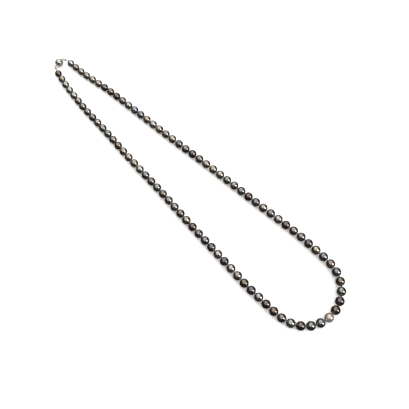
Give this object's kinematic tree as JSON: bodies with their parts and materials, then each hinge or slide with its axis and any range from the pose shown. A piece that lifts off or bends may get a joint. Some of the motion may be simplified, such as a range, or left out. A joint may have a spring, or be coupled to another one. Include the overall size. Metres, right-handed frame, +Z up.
{
  "type": "pearl necklace",
  "caption": "Long necklace of graded dark pearls knotted on silk, with one pale pearl at the front and a ball clasp, laid flat and closed.",
  "frame": {"origin": "middle of the outline of the laid-out necklace, on the surface that the pearls rest on", "axes": "+Z up from the surface, +Y from the front of the loop to the clasp, +X to the right strand"},
  "size_m": [0.0878, 0.4254, 0.0098],
  "materials": {
    "dark_nacre": "high lustre, overtones differ from pearl to pearl",
    "pale_nacre": "high lustre, pale champagne",
    "silk": "twisted silk thread",
    "white_metal": "polished",
    "bullion": "fine coiled wire"
  },
  "bodies": {
    "front_arc": {"pearls_front": "dark_nacre", "pale_pearl": "pale_nacre", "silk_front": "silk"},
    "right_base": {"pearls_right_base": "dark_nacre", "silk_right_base": "silk"},
    "left_link_1": {"pearls_left_1": "dark_nacre", "silk_left_1": "silk"},
    "left_link_2": {"pearls_left_2": "dark_nacre", "silk_left_2": "silk"},
    "left_link_3": {"pearls_left_3": "dark_nacre", "silk_left_3": "silk"},
    "left_link_4": {"pearls_left_4": "dark_nacre", "silk_left_4": "silk"},
    "left_link_5": {"pearls_left_5": "dark_nacre", "silk_left_5": "silk"},
    "left_link_6": {"pearls_left_6": "dark_nacre", "silk_left_6": "silk"},
    "left_link_7": {"pearls_left_7": "dark_nacre", "silk_left_7": "silk"},
    "left_link_8": {"pearls_left_8": "dark_nacre", "silk_left_8": "silk"},
    "left_link_9": {"pearls_left_9": "dark_nacre", "silk_left_9": "silk", "bullion_left": "bullion"},
    "right_link_1": {"pearls_right_1": "dark_nacre", "silk_right_1": "silk"},
    "right_link_2": {"pearls_right_2": "dark_nacre", "silk_right_2": "silk"},
    "right_link_3": {"pearls_right_3": "dark_nacre", "silk_right_3": "silk"},
    "right_link_4": {"pearls_right_4": "dark_nacre", "silk_right_4": "silk"},
    "right_link_5": {"pearls_right_5": "dark_nacre", "silk_right_5": "silk"},
    "right_link_6": {"pearls_right_6": "dark_nacre", "silk_right_6": "silk"},
    "right_link_7": {"pearls_right_7": "dark_nacre", "silk_right_7": "silk"},
    "right_link_8": {"pearls_right_8": "dark_nacre", "silk_right_8": "silk"},
    "right_link_9": {"pearls_right_9": "dark_nacre", "silk_right_9": "silk", "bullion_right": "bullion"},
    "ring_left": {"jump_ring_left": "white_metal"},
    "ring_right": {"jump_ring_right": "white_metal"},
    "ball": {"ball_cup_left": "white_metal", "ball_cup_right": "white_metal", "catch_plate": "white_metal", "ball_eye": "white_metal"},
    "tongue": {"tongue_plate": "white_metal", "tongue_eye": "white_metal"},
    "leaf": {"tongue_leaf": "white_metal", "press_button": "white_metal"}
  },
  "joints": [
    {"name": "unclasp", "type": "hinge", "parent": "front_arc", "child": "right_base", "pos_m": [0.01038, -0.20708, 0.00487], "axis": [0, 0, -1], "range_deg": [0, 30]},
    {"name": "sway", "type": "hinge", "parent": "front_arc", "child": "left_link_1", "pos_m": [-0.03912, -0.16829, 0.00479], "axis": [0, 0, 1], "range_deg": [-20, 20]},
    {"name": "sway_right", "type": "hinge", "parent": "right_base", "child": "right_link_1", "pos_m": [0.03912, -0.16829, 0.00479], "axis": [0, 0, 1], "range_deg": [-20, 20]},
    {"name": "sway_left_top", "type": "hinge", "parent": "left_link_1", "child": "left_link_2", "pos_m": [-0.03912, -0.12733, 0.00473], "axis": [0, 0, 1], "range_deg": [-20, 20]},
    {"name": "sway_right_top", "type": "hinge", "parent": "right_link_1", "child": "right_link_2", "pos_m": [0.03912, -0.12733, 0.00473], "axis": [0, 0, 1], "range_deg": [-20, 20]},
    {"name": "fold_1", "type": "hinge", "parent": "left_link_2", "child": "left_link_3", "pos_m": [-0.03578, -0.08701, 0.00466], "axis": [1, 0, 0], "range_deg": [0, 30]},
    {"name": "fold_1_right", "type": "hinge", "parent": "right_link_2", "child": "right_link_3", "pos_m": [0.03575, -0.08701, 0.00466], "axis": [1, 0, 0], "range_deg": [0, 30]},
    {"name": "fold_2", "type": "hinge", "parent": "left_link_3", "child": "left_link_4", "pos_m": [-0.0329, -0.04723, 0.00459], "axis": [1, 0, 0], "range_deg": [0, 30]},
    {"name": "fold_2_right", "type": "hinge", "parent": "right_link_3", "child": "right_link_4", "pos_m": [0.03272, -0.04723, 0.00459], "axis": [1, 0, 0], "range_deg": [0, 30]},
    {"name": "fold_3", "type": "hinge", "parent": "left_link_4", "child": "left_link_5", "pos_m": [-0.02936, -0.00802, 0.00452], "axis": [1, 0, 0], "range_deg": [0, 30]},
    {"name": "fold_3_right", "type": "hinge", "parent": "right_link_4", "child": "right_link_5", "pos_m": [0.02982, -0.00802, 0.00452], "axis": [1, 0, 0], "range_deg": [0, 30]},
    {"name": "fold_4", "type": "hinge", "parent": "left_link_5", "child": "left_link_6", "pos_m": [-0.02632, 0.03057, 0.00444], "axis": [1, 0, 0], "range_deg": [0, 30]},
    {"name": "fold_4_right", "type": "hinge", "parent": "right_link_5", "child": "right_link_6", "pos_m": [0.02628, 0.03057, 0.00444], "axis": [1, 0, 0], "range_deg": [0, 30]},
    {"name": "fold_5", "type": "hinge", "parent": "left_link_6", "child": "left_link_7", "pos_m": [-0.02368, 0.0685, 0.00435], "axis": [1, 0, 0], "range_deg": [0, 30]},
    {"name": "fold_5_right", "type": "hinge", "parent": "right_link_6", "child": "right_link_7", "pos_m": [0.02307, 0.0685, 0.00435], "axis": [1, 0, 0], "range_deg": [0, 30]},
    {"name": "fold_6", "type": "hinge", "parent": "left_link_7", "child": "left_link_8", "pos_m": [-0.02011, 0.10569, 0.00425], "axis": [1, 0, 0], "range_deg": [0, 30]},
    {"name": "fold_6_right", "type": "hinge", "parent": "right_link_7", "child": "right_link_8", "pos_m": [0.02054, 0.10569, 0.00425], "axis": [1, 0, 0], "range_deg": [0, 30]},
    {"name": "fold_7", "type": "hinge", "parent": "left_link_8", "child": "left_link_9", "pos_m": [-0.0175, 0.14206, 0.00414], "axis": [1, 0, 0], "range_deg": [0, 30]},
    {"name": "fold_7_right", "type": "hinge", "parent": "right_link_8", "child": "right_link_9", "pos_m": [0.0176, 0.14206, 0.00414], "axis": [1, 0, 0], "range_deg": [0, 30]},
    {"name": "ring_left_turn", "type": "hinge", "parent": "left_link_9", "child": "ring_left", "pos_m": [-0.0048, 0.2068, 0.0045], "axis": [-0.9027, 0.4302, 0], "continuous": true},
    {"name": "clasp_roll", "type": "hinge", "parent": "left_link_9", "child": "ball", "pos_m": [0.0022, 0.20815, 0.0045], "axis": [1, 0, 0], "range_deg": [-25, 25]},
    {"name": "ring_right_swing", "type": "hinge", "parent": "right_link_9", "child": "ring_right", "pos_m": [0.00984, 0.20544, 0.0045], "axis": [0, 0, -1], "range_deg": [-30, 0]},
    {"name": "tongue_roll", "type": "hinge", "parent": "ring_right", "child": "tongue", "pos_m": [0.0022, 0.20815, 0.0045], "axis": [1, 0, 0], "range_deg": [-25, 25]},
    {"name": "leaf_press", "type": "hinge", "parent": "tongue", "child": "leaf", "pos_m": [0.0002, 0.20815, 0.00445], "axis": [0, 1, 0], "range_deg": [0, 6.5], "stiffness_Nm_per_rad": 0.00002, "deforming": ["tongue_leaf"]}
  ],
  "couplings": [
    {"joint": "sway_right", "follows": "sway", "ratio": 1},
    {"joint": "sway_left_top", "follows": "sway", "ratio": -1},
    {"joint": "sway_right_top", "follows": "sway", "ratio": -1},
    {"joint": "fold_1_right", "follows": "fold_1", "ratio": 1},
    {"joint": "fold_2_right", "follows": "fold_2", "ratio": 1},
    {"joint": "fold_3_right", "follows": "fold_3", "ratio": 1},
    {"joint": "fold_4_right", "follows": "fold_4", "ratio": 1},
    {"joint": "fold_5_right", "follows": "fold_5", "ratio": 1},
    {"joint": "fold_6_right", "follows": "fold_6", "ratio": 1},
    {"joint": "fold_7_right", "follows": "fold_7", "ratio": 1},
    {"joint": "ring_right_swing", "follows": "unclasp", "ratio": -1},
    {"joint": "tongue_roll", "follows": "clasp_roll", "ratio": 1}
  ]
}
